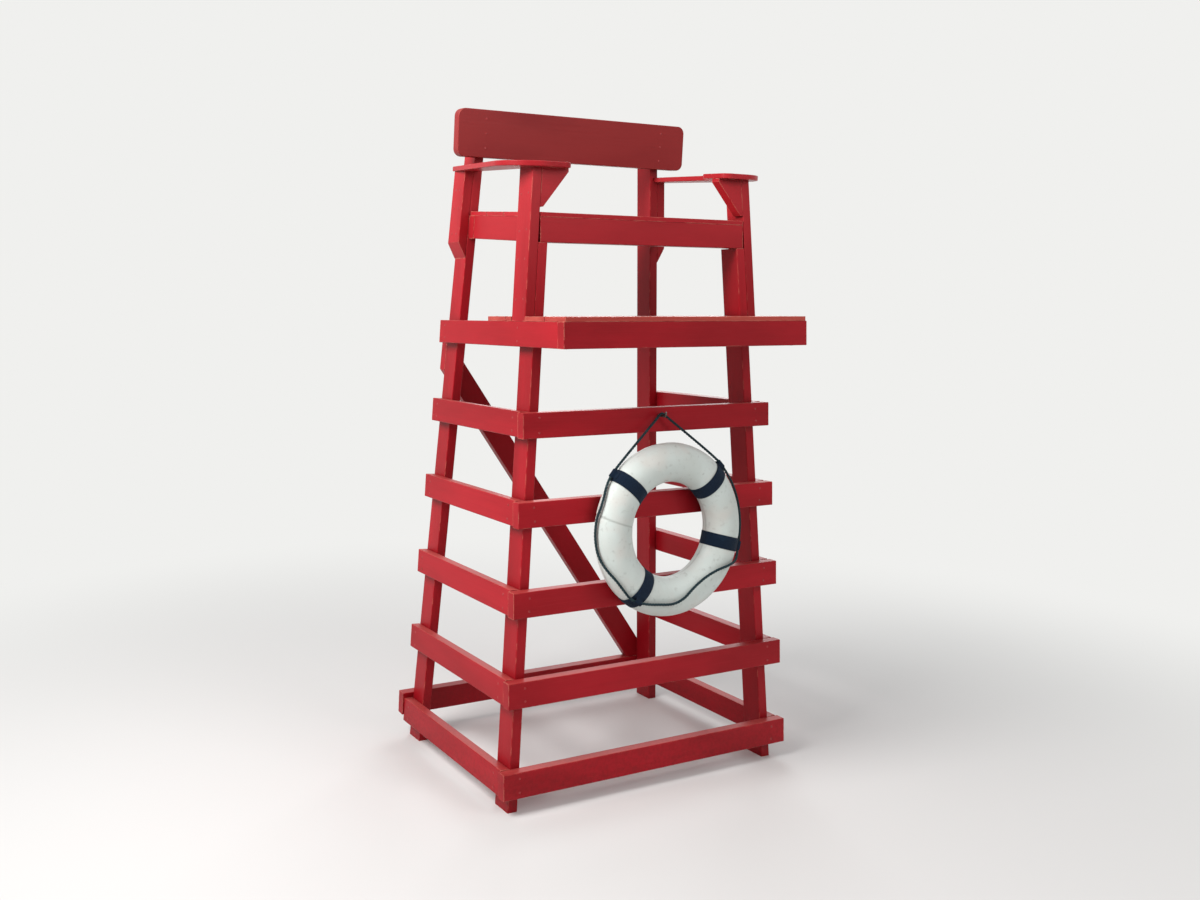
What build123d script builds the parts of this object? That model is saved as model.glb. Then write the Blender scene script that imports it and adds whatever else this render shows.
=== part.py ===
from build123d import *
import os
from math import asin, atan2, cos, degrees, hypot, pi, radians, sin, tan

# A free-standing wooden lifeguard tower in millimetres, +Z up, front towards -Y.
# The origin lies on the floor under the middle of the tower's bounding box.

# Lumber, as sawn and planed
board_thickness = 38
board_width = 89
board_rounding = 3
plank_width = 125
plank_thickness = 16
plank_gap = 3
plank_rounding = 1.5

# Leg frame, over the outer faces of the legs at the floor
base_width = 1168
base_depth = 785
side_lean = 3.6
back_lean = 4.9

# Ladder rails, counted from the floor
rail_count = 5
first_rail_top = 150
rail_spacing = 305
rail_overhang = 3
back_rail_top = 172

# Diagonal brace across the back: its middle line at the legs' outer faces, below deck frame and back rail
brace_below_deck = 44
brace_below_rail = 50
brace_gap = 1

# Foot deck, its top above the top rail
deck_rise = 329
deck_plank_count = 4
planks_before_legs = 2
notch_gap = 2

# Seat, square to the back legs, so it rises towards the back: its front edge above the deck
seat_rise = 363
seat_fit_gap = 2

# Armrests, square to the back legs too: their tops above the seat
arm_rise = 176
arm_thickness = 19
arm_rounding = 3
arm_front_overhang = 37
arm_outer_overhang = 114
arm_back_overhang = 3
arm_inner_overhang = 24
arm_outer_radius = 138
arm_hand_overhang = 108
arm_hand_length = 150
arm_hand_radius = 34
arm_back_reach = 10
gusset_width = 108
gusset_height = 138
gusset_nose = 12
stay_length = 294
stay_cut = 70

# Backrest board across the back legs, its top above the armrests
backrest_rise = 259
backrest_height = 184
backrest_length = 1072
backrest_radius = 30

# Life ring, hung below its hook against the front rails
ring_drop = 400
ring_diameter = 616
ring_hole = 338
ring_thickness = 112
strap_angles = (135, 42, -10, -120)
strap_width = 48
strap_thickness = 3
soft_gap = 0.3

# Grab line of the ring and the hook in the top rail that carries it
line_diameter = 10
hook_x = 21
hook_drop = 30
hook_diameter = 8
hook_reach = 46
hook_tip = 16
line_from_rail = 24
line_lift = 3

# The line's route round the ring, chosen by hand: angle round the ring, angle round its tube
# (0 is the outer rim, 90 the front), starting where it comes down from the hook
line_angles = (
    (52, 8), (42, 10), (28, 12), (14, 12), (0, 12), (-12, 12), (-20, 20), (-26, 44), (-32, 74), (-40, 98),
    (-51, 111), (-64, 114), (-76, 107), (-86, 92), (-97, 78), (-109, 71), (-120, 58), (-131, 38), (-142, 38),
    (-151, 34), (-159, 20), (-168, 8), (-180, 4), (-191, 8), (-198, 20), (-205, 26), (-212, 18), (-219, 8),
    (-229, 8),
)

# Share of the shorter run beside a corner of the line that the corner's arc takes
corner_share = 0.45

side_tan = tan(radians(side_lean))
side_cos = cos(radians(side_lean))
side_sin = sin(radians(side_lean))
back_tan = tan(radians(back_lean))
back_cos = cos(radians(back_lean))
back_sin = sin(radians(back_lean))

# Horizontal sizes of boards that stand at a lean
side_skin = board_thickness / side_cos
leg_depth_back = board_width / back_cos

deck_projection = planks_before_legs * (plank_width + plank_gap) - plank_gap
back_rail_low = back_rail_top - board_width * back_cos
back_reach = board_thickness * back_cos - back_rail_low * back_tan
overall_depth = deck_projection + base_depth + back_reach
deck_front = -overall_depth / 2
front_face = deck_front + deck_projection
back_foot = front_face + base_depth

top_rail_top = first_rail_top + (rail_count - 1) * rail_spacing
deck_top = top_rail_top + deck_rise
deck_frame_top = deck_top - plank_thickness
deck_frame_low = deck_frame_top - board_width
side_board_top = deck_frame_top - board_thickness * side_sin
seat_top = deck_top + seat_rise
seat_frame_top = seat_top - plank_thickness / back_cos
seat_frame_low = seat_frame_top - board_width
arm_top = seat_top + arm_rise
arm_under = arm_top - arm_thickness / back_cos
backrest_top = arm_top + backrest_rise
plank_pitch = plank_width + plank_gap


def half_width(z):
    """Half the width over the legs' outer faces at a height."""
    return base_width / 2 - side_tan * z


def back_face(z):
    """Where the back faces of the back legs stand at a height."""
    return back_foot - back_tan * z


def back_leg_front(z):
    """Where the front faces of the back legs stand at a height."""
    return back_face(z) - leg_depth_back


def keep(piece, name):
    """Label a finished piece and write it."""
    piece.part.label = name
    export_step(piece.part, f"parts/{name}.step")


def keep_pair(right, name):
    """Write a piece of the right side and its mirror image on the left."""
    keep(right, f"right_{name}")
    with BuildPart() as left:
        mirror(right.part, about=Plane.YZ)
    keep(left, f"left_{name}")


def front_plane(y):
    """A plane across the tower that faces the front."""
    return Plane((0, y, 0), x_dir=(1, 0, 0), z_dir=(0, -1, 0))


def square_plane(height):
    """A plane square to the back legs through the front face at a height, its y direction back and up."""
    return Plane((0, front_face, height), x_dir=(1, 0, 0), z_dir=(0, -back_sin, back_cos))


def square_run(height):
    """How far a square plane runs from the front face to the front faces of the back legs."""
    return base_depth * back_cos - height * back_sin - board_width


def side_board(start, top):
    """A board flat against the outer faces of the right legs, from start to the legs' back faces."""
    section = Plane((half_width(top), start, top), x_dir=(side_cos, 0, side_sin), z_dir=(0, 1, 0))
    with BuildPart() as board:
        with BuildSketch(section):
            Rectangle(board_thickness, board_width, align=(Align.MIN, Align.MIN))
        extrude(amount=back_face(top + board_thickness * side_sin) - start)
        fillet(board.edges().filter_by(Axis.Y), board_rounding)
    return board


os.makedirs("parts", exist_ok=True)

# Front legs: upright in the side view, leaning in towards the top, under the seat's front board
with BuildPart() as front_leg:
    with BuildSketch(front_plane(front_face)):
        with BuildLine():
            Polyline(
                (half_width(0), 0),
                (half_width(seat_frame_low), seat_frame_low),
                (half_width(seat_frame_low) - side_skin, seat_frame_low),
                (half_width(0) - side_skin, 0),
                close=True,
            )
        make_face()
    extrude(amount=-board_width)
    fillet(front_leg.edges().filter_by(Axis((0, 0, 0), (-side_tan, 0, 1))), board_rounding)
keep_pair(front_leg, "front_leg")

# Back legs: full height, leaning in and forward
with BuildPart() as back_leg:
    with BuildSketch(Plane.XY):
        with Locations((half_width(0), back_foot)):
            Rectangle(side_skin, leg_depth_back, align=(Align.MAX, Align.MAX))
    lean_way = Vector(-side_tan, -back_tan, 1)
    extrude(amount=(backrest_top - board_rounding) * lean_way.length, dir=lean_way)
    fillet(back_leg.edges().filter_by(Axis((0, 0, 0), lean_way)), board_rounding)
keep_pair(back_leg, "back_leg")

# Ladder rails on the front and both sides
for number in range(1, rail_count + 1):
    top = first_rail_top + (number - 1) * rail_spacing
    middle = top - board_width / 2
    rail_half = half_width(top - board_width) + side_skin + rail_overhang
    with BuildPart() as front_rail:
        with BuildSketch(front_plane(front_face)):
            with Locations((0, middle)):
                Rectangle(2 * rail_half, board_width)
        extrude(amount=board_thickness)
        fillet(front_rail.edges().filter_by(Axis.X), board_rounding)
    keep(front_rail, f"front_rail_{number}")
    keep_pair(side_board(front_face, top), f"side_rail_{number}")

# Bottom rail and diagonal brace on the back faces of the back legs
back_plane = Plane((0, back_foot, 0), x_dir=(-1, 0, 0), z_dir=(0, back_cos, back_sin))
back_rail_half = half_width(back_rail_low) + side_skin + rail_overhang
with BuildPart() as back_rail:
    with BuildSketch(back_plane):
        with Locations((0, back_rail_top / back_cos)):
            Rectangle(2 * back_rail_half, board_width, align=(Align.CENTER, Align.MAX))
    extrude(amount=board_thickness)
    fillet(back_rail.edges().filter_by(Axis.X), board_rounding)
keep(back_rail, "back_rail")

brace_high = deck_frame_low - brace_below_deck
brace_low = back_rail_top - brace_below_rail
brace_run = half_width(brace_high) + half_width(brace_low)
brace_rise = (brace_high - brace_low) / back_cos
brace_middle = (
    (half_width(brace_high) - half_width(brace_low)) / 2,
    (brace_high + brace_low) / 2 / back_cos,
)
brace_way = Vector(-brace_run, -brace_rise * back_sin, brace_rise * back_cos)
brace_turn = degrees(atan2(brace_rise, brace_run))
brace_foot = back_rail_top + brace_gap
with BuildPart() as back_brace:
    with BuildSketch(back_plane):
        with Locations(brace_middle):
            Rectangle(2 * hypot(brace_run, brace_rise), board_width, rotation=brace_turn)
        with BuildLine():
            Polyline(
                (-half_width(brace_foot), brace_foot / back_cos),
                (half_width(brace_foot), brace_foot / back_cos),
                (half_width(deck_frame_low), deck_frame_low / back_cos),
                (-half_width(deck_frame_low), deck_frame_low / back_cos),
                close=True,
            )
        make_face(mode=Mode.INTERSECT)
    extrude(amount=board_thickness)
    fillet(back_brace.edges().filter_by(Axis((0, 0, 0), brace_way)), board_rounding)
keep(back_brace, "back_brace")

# Deck frame: side boards out to the front board, a middle and a back joist
deck_half = half_width(side_board_top - board_width * side_cos) + side_skin
keep_pair(side_board(deck_front + board_thickness, side_board_top), "deck_side_board")
with BuildPart() as deck_front_board:
    with BuildSketch(front_plane(deck_front)):
        with Locations((0, deck_frame_low)):
            Rectangle(2 * deck_half, board_width, align=(Align.CENTER, Align.MIN))
    extrude(amount=-board_thickness)
    fillet(deck_front_board.edges().filter_by(Axis.X), board_rounding)
keep(deck_front_board, "deck_front_board")

deck_depth = deck_plank_count * (plank_width + plank_gap) - plank_gap
joist_back = deck_front + deck_depth
joist_half = half_width(deck_frame_top)
with BuildPart() as deck_back_joist:
    with BuildSketch(front_plane(joist_back - board_thickness)):
        with Locations((0, deck_frame_low)):
            Rectangle(2 * joist_half, board_width, align=(Align.CENTER, Align.MIN))
    extrude(amount=-board_thickness)
    fillet(deck_back_joist.edges().filter_by(Axis.X), board_rounding)
keep(deck_back_joist, "deck_back_joist")
with BuildPart() as deck_middle_joist:
    with BuildSketch(front_plane(deck_front + board_thickness)):
        with Locations((0, deck_frame_low)):
            Rectangle(board_thickness, board_width, align=(Align.CENTER, Align.MIN))
    extrude(amount=-(deck_depth - 2 * board_thickness))
    fillet(deck_middle_joist.edges().filter_by(Axis.Y), board_rounding)
keep(deck_middle_joist, "deck_middle_joist")

# Deck planks, the one beside the legs notched round leg and post
plank_half = half_width(side_board_top) + side_skin
notch_inner = half_width(deck_top) - side_skin - notch_gap
with BuildPart() as deck_planks:
    with BuildSketch(Plane.XY.offset(deck_frame_top)):
        for place in range(deck_plank_count):
            with Locations((0, deck_front + place * plank_pitch)):
                Rectangle(2 * plank_half, plank_width, align=(Align.CENTER, Align.MIN))
        with Locations((notch_inner, front_face - notch_gap)):
            Rectangle(plank_half, board_width + 2 * notch_gap, align=(Align.MIN, Align.MIN), mode=Mode.SUBTRACT)
        mirror(about=Plane.YZ, mode=Mode.INTERSECT)
    extrude(amount=plank_thickness)
    fillet(deck_planks.edges().filter_by(Axis.X).group_by(Axis.Z)[-1], plank_rounding)
keep(deck_planks, "deck_planks")

# Outer posts: on the deck's side boards, against the legs, up to the armrests
arm_plane = square_plane(arm_under)
post_foot = Plane(
    (half_width(side_board_top), front_face, side_board_top),
    x_dir=(side_cos, 0, side_sin),
    z_dir=(-side_sin, 0, side_cos),
)
post_blank = backrest_top - side_board_top
with BuildPart() as arm_post:
    with BuildSketch(post_foot):
        Rectangle(board_thickness, board_width, align=(Align.MIN, Align.MIN))
    extrude(amount=post_blank)
    split(bisect_by=arm_plane, keep=Keep.BOTTOM)
    fillet(arm_post.edges().filter_by(Axis((0, 0, 0), (-side_tan, 0, 1))), board_rounding)
keep_pair(arm_post, "arm_post")

# Short stays that carry the armrests on the back legs, cut off at a slant below
stay_low = arm_under - stay_length
stay_slant = Plane((half_width(stay_low), 0, stay_low), x_dir=(0, 1, 0), z_dir=(-stay_cut, 0, side_skin))
stay_blank = (backrest_top - stay_low) * lean_way.length
with BuildPart() as arm_stay:
    with BuildSketch(Plane.XY.offset(stay_low)):
        with Locations((half_width(stay_low), back_face(stay_low))):
            Rectangle(side_skin, leg_depth_back, align=(Align.MIN, Align.MAX))
    extrude(amount=stay_blank, dir=lean_way)
    split(bisect_by=arm_plane, keep=Keep.BOTTOM)
    split(bisect_by=stay_slant, keep=Keep.TOP)
    fillet(arm_stay.edges().filter_by(Axis((0, 0, 0), lean_way)), board_rounding)
keep_pair(arm_stay, "arm_stay")

# Armrests: a wide rounded hand rest in front, narrowing to the back leg, which passes through a notch
arm_run = square_run(arm_under)
arm_inner_face = half_width(arm_under)
arm_front_outer = arm_inner_face + side_skin + arm_outer_overhang
arm_back_outer = half_width(arm_under + arm_run * back_sin) + side_skin + arm_back_overhang
arm_inner = arm_inner_face - arm_inner_overhang
hand_inner = arm_inner_face - arm_hand_overhang
arm_back = arm_run + board_width + arm_back_reach
hand_back = arm_hand_length - arm_front_overhang
leg_notch = half_width(arm_under + arm_run * back_sin) + notch_gap
with BuildPart() as armrest:
    with BuildSketch(arm_plane) as arm_outline:
        with BuildLine():
            Polyline(
                (arm_front_outer, -arm_front_overhang),
                (arm_back_outer, arm_back),
                (arm_inner, arm_back),
                (arm_inner, hand_back),
                (hand_inner, hand_back),
                (hand_inner, -arm_front_overhang),
                close=True,
            )
        make_face()
        front_corner = arm_outline.vertices().sort_by_distance((arm_front_outer, -arm_front_overhang, 0))[0]
        fillet(front_corner, arm_outer_radius)
        for corner in ((hand_inner, -arm_front_overhang), (hand_inner, hand_back), (arm_inner, hand_back)):
            nearest = arm_outline.vertices().sort_by_distance((*corner, 0))[0]
            fillet(nearest, arm_hand_radius)
        with Locations((leg_notch, arm_run - notch_gap)):
            Rectangle(arm_front_outer, overall_depth, align=(Align.MAX, Align.MIN), mode=Mode.SUBTRACT)
    extrude(amount=arm_thickness)
    fillet(armrest.faces().filter_by(arm_plane).edges(), arm_rounding)
keep_pair(armrest, "armrest")

# Gussets under the hand rests, inward from the posts
gusset_low = arm_under - gusset_height
gusset_high = arm_under + board_thickness * back_tan
with BuildPart() as arm_gusset:
    with BuildSketch(front_plane(front_face)):
        with BuildLine():
            Polyline(
                (half_width(gusset_high), gusset_high),
                (half_width(gusset_high) - gusset_width, gusset_high),
                (half_width(gusset_high) - gusset_width, arm_under - gusset_nose),
                (half_width(gusset_low) - gusset_nose, gusset_low),
                (half_width(gusset_low), gusset_low),
                close=True,
            )
        make_face()
    extrude(amount=-board_thickness)
    split(bisect_by=arm_plane, keep=Keep.BOTTOM)
keep_pair(arm_gusset, "arm_gusset")

# Seat frame between the posts: front board on the front legs, side boards, back board on the back legs
seat_plane = square_plane(seat_frame_top)
seat_run = square_run(seat_frame_top)
seat_half = half_width(seat_top) - seat_fit_gap
with BuildPart() as seat_front_board:
    with BuildSketch(front_plane(front_face)):
        with Locations((0, seat_frame_low)):
            Rectangle(2 * seat_half, board_width + board_thickness, align=(Align.CENTER, Align.MIN))
    extrude(amount=-board_thickness)
    split(bisect_by=seat_plane, keep=Keep.BOTTOM)
    fillet(seat_front_board.edges().filter_by(Axis.X), board_rounding)
keep(seat_front_board, "seat_front_board")

with BuildPart() as seat_back_board:
    with BuildSketch(seat_plane):
        with Locations((0, seat_run)):
            Rectangle(2 * seat_half, board_thickness, align=(Align.CENTER, Align.MAX))
    extrude(amount=-board_width)
    fillet(seat_back_board.edges().filter_by(Axis.X), board_rounding)
keep(seat_back_board, "seat_back_board")

seat_side_end = seat_run - board_thickness - seat_fit_gap
seat_side_start = Plane((0, front_face + board_thickness, 0), x_dir=(1, 0, 0), z_dir=(0, -1, 0))
with BuildPart() as seat_side_board:
    with BuildSketch(seat_plane):
        with Locations((seat_half, 0)):
            Rectangle(board_thickness, seat_side_end, align=(Align.MAX, Align.MIN))
    extrude(amount=-board_width)
    fillet(seat_side_board.edges().filter_by(Axis((0, 0, 0), seat_plane.y_dir)), board_rounding)
    split(bisect_by=seat_side_start, keep=Keep.BOTTOM)
keep_pair(seat_side_board, "seat_side_board")

# Seat planks, as many as the run to the back legs takes
seat_plank_count = int((seat_run + plank_gap) // plank_pitch)
with BuildPart() as seat_planks:
    with BuildSketch(seat_plane):
        for place in range(seat_plank_count):
            with Locations((0, place * plank_pitch)):
                Rectangle(2 * seat_half, plank_width, align=(Align.CENTER, Align.MIN))
    extrude(amount=plank_thickness)
    seat_normal = Axis(seat_plane.origin, seat_plane.z_dir)
    seat_upper = seat_planks.faces().filter_by(seat_plane).group_by(seat_normal)[-1]
    fillet(seat_upper.edges().filter_by(Axis.X), plank_rounding)
keep(seat_planks, "seat_planks")

# Backrest board on the front faces of the back legs
backrest_plane = Plane(
    (0, back_leg_front(backrest_top), backrest_top), x_dir=(1, 0, 0), z_dir=(0, -back_cos, -back_sin)
)
with BuildPart() as backrest_board:
    with BuildSketch(backrest_plane) as backrest_outline:
        Rectangle(backrest_length, backrest_height, align=(Align.CENTER, Align.MAX))
        fillet(backrest_outline.vertices(), backrest_radius)
    extrude(amount=board_thickness)
    fillet(backrest_board.faces().filter_by(backrest_plane).edges(), board_rounding)
keep(backrest_board, "backrest_board")

# Life ring: an oval section turned round the ring's own axis, standing against the front rails
ring_radius = (ring_diameter + ring_hole) / 4
tube_radial = (ring_diameter - ring_hole) / 4
tube_axial = ring_thickness / 2
ring_y = front_face - board_thickness - 2 * soft_gap - strap_thickness - tube_axial
hook_z = top_rail_top - hook_drop
ring_z = hook_z - ring_drop
ring_axis = Axis((hook_x, ring_y, ring_z), (0, 1, 0))


def ring_section(angle):
    """A plane through the ring's axis, its x direction pointing out at this angle round the ring."""
    turn = radians(angle)
    return Plane((hook_x, ring_y, ring_z), x_dir=(cos(turn), 0, sin(turn)), z_dir=(-sin(turn), 0, cos(turn)))


with BuildPart() as life_ring:
    with BuildSketch(ring_section(0)):
        with Locations((ring_radius, 0)):
            Ellipse(tube_radial, tube_axial)
    revolve(axis=ring_axis)
keep(life_ring, "life_ring")

strap_sweep = degrees(strap_width / ring_radius)
strap_outer = soft_gap + strap_thickness
with BuildPart() as ring_straps:
    for angle in strap_angles:
        with BuildSketch(ring_section(angle + strap_sweep / 2)):
            with Locations((ring_radius, 0)):
                Ellipse(tube_radial + strap_outer, tube_axial + strap_outer)
                Ellipse(tube_radial + soft_gap, tube_axial + soft_gap, mode=Mode.SUBTRACT)
        revolve(axis=ring_axis, revolution_arc=strap_sweep)
keep(ring_straps, "ring_straps")

# Hook: a round bar out of the top front rail, its end turned up
hook_root = Vector(hook_x, front_face - board_thickness, hook_z)
with BuildPart() as ring_hook:
    with BuildLine() as hook_path:
        FilletPolyline(
            hook_root,
            hook_root + Vector(0, -hook_reach, 0),
            hook_root + Vector(0, -hook_reach, hook_tip),
            radius=hook_diameter,
        )
    with BuildSketch(Plane(hook_root, x_dir=(1, 0, 0), z_dir=(0, -1, 0))):
        Circle(hook_diameter / 2)
    sweep(path=hook_path.line)
keep(ring_hook, "ring_hook")

# Grab line: over the straps, slack across the lower right of the face, and up over the hook
line_off = strap_outer + soft_gap + line_lift + line_diameter / 2
bight_radius = (hook_diameter + line_diameter) / 2 + soft_gap


def on_ring(angle, tube_angle):
    """A point of the line beside the ring: an angle round the ring and one round its tube."""
    out = ring_radius + (tube_radial + line_off) * cos(radians(tube_angle))
    forward = (tube_axial + line_off) * sin(radians(tube_angle))
    return Vector(
        hook_x + out * cos(radians(angle)),
        ring_y - forward,
        ring_z + out * sin(radians(angle)),
    )


def hook_side(point, side):
    """Slope angle of the straight run from a ring point to the hook, passing it on this side."""
    to_hook = Vector(hook_x - point.X, hook_z - point.Z)
    return atan2(to_hook.Y, to_hook.X) + side * asin(bight_radius / to_hook.length)


def corner_radius(before, corner, after):
    """The largest arc that two neighbouring runs leave room for."""
    run = min((corner - before).length, (after - corner).length)
    turn = radians((corner - before).get_angle(after - corner))
    return corner_share * run / tan(turn / 2)


line_points = [on_ring(angle, tube_angle) for angle, tube_angle in line_angles]
right_slope = tan(hook_side(line_points[0], -1))
left_slope = tan(hook_side(line_points[-1], 1))
bight_x = (
    line_points[0].Z - line_points[-1].Z + left_slope * line_points[-1].X - right_slope * line_points[0].X
) / (left_slope - right_slope)
bight_z = line_points[0].Z + right_slope * (bight_x - line_points[0].X)
line_points.append(Vector(bight_x, front_face - board_thickness - line_from_rail, bight_z))
line_radii = [
    corner_radius(line_points[place - 1], line_points[place], line_points[(place + 1) % len(line_points)])
    for place in range(len(line_points) - 1)
]
line_radii.append(bight_radius)
with BuildLine() as line_path:
    FilletPolyline(*line_points, radius=line_radii, close=True)
line_edges = line_path.wire().order_edges()
line_middle = len(line_edges) // 2
with BuildPart() as grab_line:
    for run in (Wire(line_edges[:line_middle]), Wire(line_edges[line_middle:])):
        with BuildSketch(Plane(run @ 0, z_dir=run % 0)):
            Circle(line_diameter / 2)
        sweep(path=run)
keep(grab_line, "grab_line")
line_length = line_path.wire().length
print("grab line length", round(line_length, 1), "radii", [round(radius) for radius in line_radii])
print("volume over section times length", grab_line.part.volume / (pi * line_diameter**2 / 4 * line_length))
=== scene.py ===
"""Dress the lifeguard tower: boards, screws, life ring, straps, grab line, floor and lamps."""

import logging
import math
import random
from abc import ABC, abstractmethod
from collections.abc import Callable, Iterable, Sequence
from dataclasses import dataclass, field
from enum import Enum
from typing import Any, NamedTuple

import bmesh
import bpy
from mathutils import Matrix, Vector


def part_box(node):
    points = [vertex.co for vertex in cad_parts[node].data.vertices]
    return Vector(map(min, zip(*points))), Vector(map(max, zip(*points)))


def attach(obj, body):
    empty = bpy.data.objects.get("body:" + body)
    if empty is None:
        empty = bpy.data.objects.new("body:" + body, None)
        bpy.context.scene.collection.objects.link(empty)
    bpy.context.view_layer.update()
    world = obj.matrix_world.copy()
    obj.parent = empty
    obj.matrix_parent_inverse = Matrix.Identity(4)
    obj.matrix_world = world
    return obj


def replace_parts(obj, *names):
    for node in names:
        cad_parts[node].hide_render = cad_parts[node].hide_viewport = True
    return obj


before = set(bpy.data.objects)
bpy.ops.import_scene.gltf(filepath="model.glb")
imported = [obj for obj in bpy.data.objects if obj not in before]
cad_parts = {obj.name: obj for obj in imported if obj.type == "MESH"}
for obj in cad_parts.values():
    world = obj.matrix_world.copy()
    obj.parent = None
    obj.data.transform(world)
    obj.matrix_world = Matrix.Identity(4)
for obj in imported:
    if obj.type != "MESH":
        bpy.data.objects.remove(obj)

Triple = tuple[float, float, float]
Colour = tuple[float, float, float, float]
Socket = bpy.types.NodeSocket
Value = Socket | float
Inputs = dict[str | int, Any]

log = logging.getLogger("tower")

MM = 0.001
BODY = "root"
SIDES = {"left": -1, "right": 1}


def tint(red: int, green: int, blue: int) -> Colour:
    """Turn a colour as a screen shows it into the linear one that materials hold.

    Args:
        red: The red share, from 0 to 255.
        green: The green share, from 0 to 255.
        blue: The blue share, from 0 to 255.

    Returns:
        The linear colour, opaque.
    """

    def linear(share: int) -> float:
        """Undo the screen's standard curve for one share."""
        part = share / 255
        return part / 12.92 if part <= 0.04045 else ((part + 0.055) / 1.055) ** 2.4

    return linear(red), linear(green), linear(blue), 1.0


def put(name: str, data: bpy.types.ID) -> bpy.types.Object:
    """Put a new object into the scene.

    Args:
        name: The object's name.
        data: The mesh, curve, lamp or camera that it shows.

    Returns:
        The object.
    """
    made = bpy.data.objects.new(name, data)
    bpy.context.scene.collection.objects.link(made)
    return made


class Grain(Enum):
    """The way a board's grain runs, as the turn that lays it along a pattern's first axis."""

    ACROSS = (0.0, 0.0, 0.0)
    FORE_AND_AFT = (0.0, 0.0, -math.pi / 2)
    UPRIGHT = (0.0, math.pi / 2, 0.0)
    BRACE = (0.0, -0.927, 0.0)


class Step(NamedTuple):
    """A smooth step: where it starts, where it ends (before the start, it falls) and its height."""

    low: float
    high: float
    top: float = 1.0


class Cloud(NamedTuple):
    """Soft random values: repeats a metre, finer layers, and how far they are pulled about."""

    scale: float
    detail: float = 3.0
    warp: float = 0.0


class Streaks(NamedTuple):
    """A cloud drawn out along the grain, with its repeats a metre along and across it."""

    along: float
    across: float
    detail: float = 2.0
    warp: float = 0.0


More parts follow.
